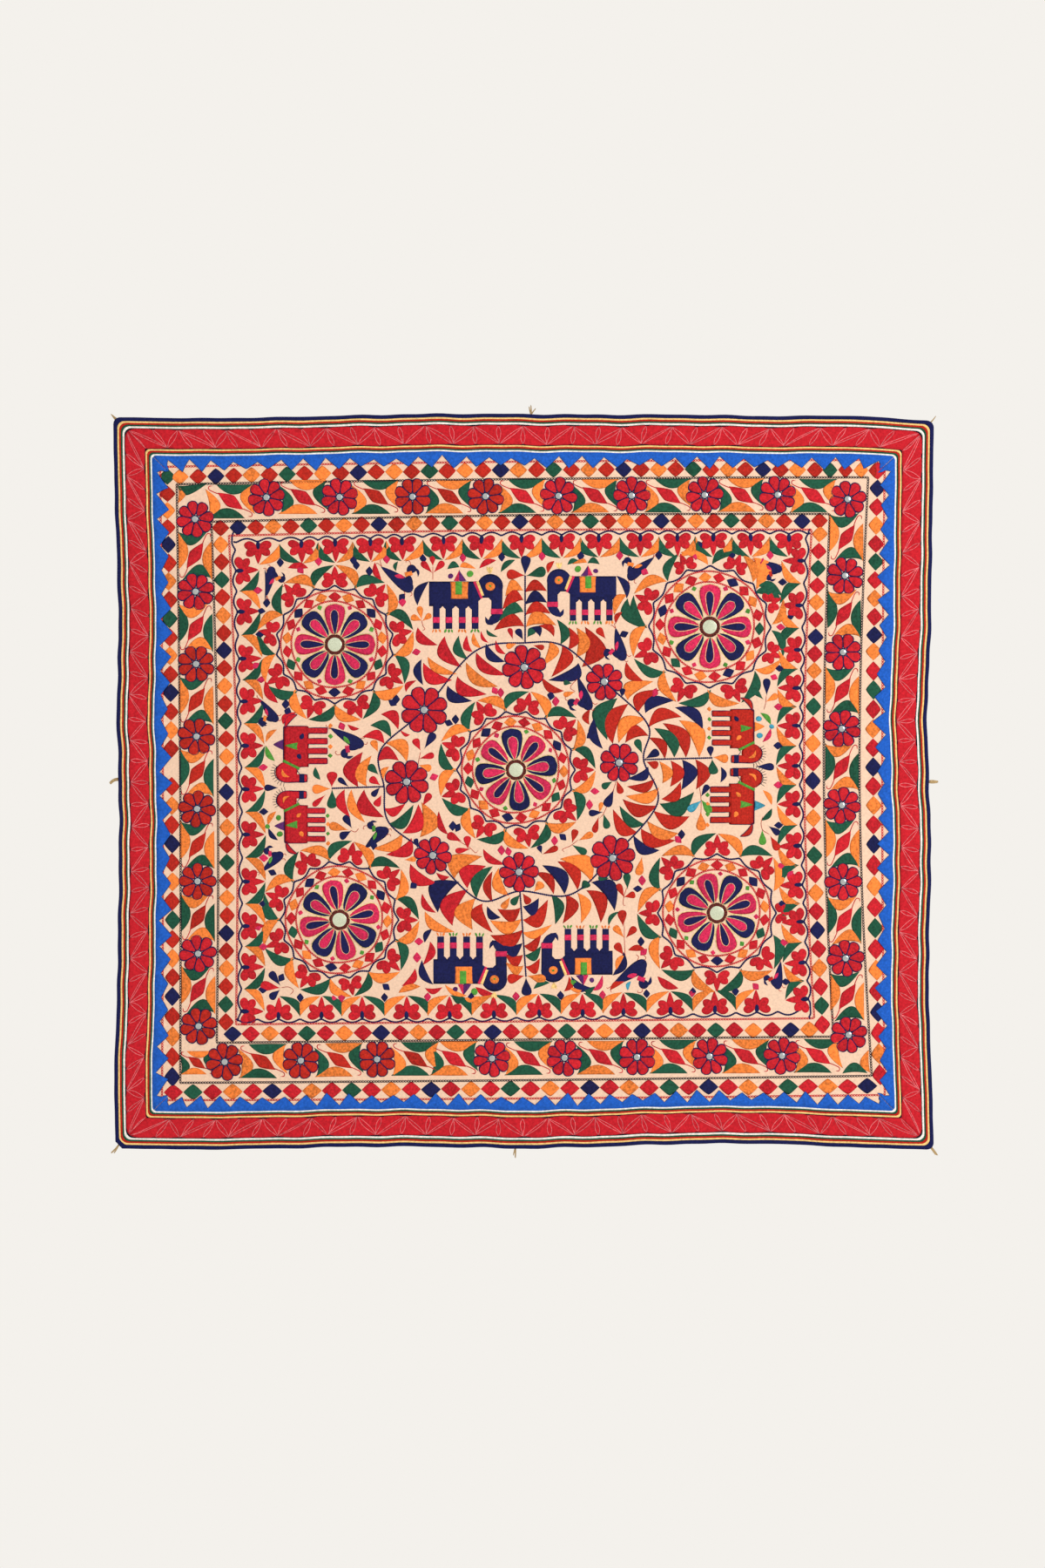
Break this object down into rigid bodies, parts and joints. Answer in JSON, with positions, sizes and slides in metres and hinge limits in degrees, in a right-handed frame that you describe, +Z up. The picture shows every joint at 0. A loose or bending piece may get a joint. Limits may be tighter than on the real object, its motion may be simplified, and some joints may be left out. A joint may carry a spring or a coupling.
{
  "type": "embroidered wall hanging",
  "caption": "Square cotton wall hanging with embroidered flowers, leaves, elephants and small mirrors, a toothed blue strip, a quilted red border, folded edging strips and short tapes.",
  "frame": {"origin": "middle of the top edge, on the wall plane behind the cloth", "axes": "+X to the right as seen from the front, +Y into the wall, +Z up; the embroidered face looks along -Y"},
  "size_m": [1.4305, 0.0079, 1.2967],
  "materials": {
    "cream_cotton": "plain-woven cotton, matt, with a fine visible weave",
    "blue_cotton": "dyed plain cotton, matt",
    "red_cotton": "dyed plain cotton, hand-quilted, matt; also the finish of red embroidery thread",
    "navy_cotton": "dyed plain cotton, matt; also the finish of navy embroidery thread",
    "yellow_cotton": "dyed plain cotton, matt; also the finish of orange and yellow embroidery thread",
    "green_cotton": "dyed plain cotton, matt; also the finish of green embroidery thread",
    "white_cotton": "bleached plain cotton, matt",
    "black_cord": "dark twisted cotton cord, matt",
    "ecru_tape": "unbleached cotton tape, matt, frayed at the ends",
    "mirror_glass": "small silvered glass, slightly dull"
  },
  "bodies": {
    "root": {"ground_panel": "cream_cotton", "edge_binding": "navy_cotton", "outer_fold_yellow": "yellow_cotton", "outer_fold_red": "red_cotton", "outer_fold_green": "green_cotton", "outer_fold_white": "white_cotton", "outer_seam_cord": "black_cord", "inner_fold_yellow": "yellow_cotton", "inner_fold_red": "red_cotton", "inner_fold_green": "green_cotton", "inner_fold_white": "white_cotton", "inner_seam_cord": "black_cord", "red_border_top": "red_cotton", "blue_strip_top": "blue_cotton", "red_border_right": "red_cotton", "blue_strip_right": "blue_cotton", "red_border_bottom": "red_cotton", "blue_strip_bottom": "blue_cotton", "red_border_left": "red_cotton", "blue_strip_left": "blue_cotton", "mirror_centre": "mirror_glass", "mirror_top_left": "mirror_glass", "mirror_top_right": "mirror_glass", "mirror_bottom_left": "mirror_glass", "mirror_bottom_right": "mirror_glass", "tie_top_left": "ecru_tape", "tie_top_middle": "ecru_tape", "tie_top_right": "ecru_tape", "tie_right_middle": "ecru_tape", "tie_bottom_right": "ecru_tape", "tie_bottom_middle": "ecru_tape", "tie_bottom_left": "ecru_tape", "tie_left_middle": "ecru_tape"}
  },
  "joints": []
}
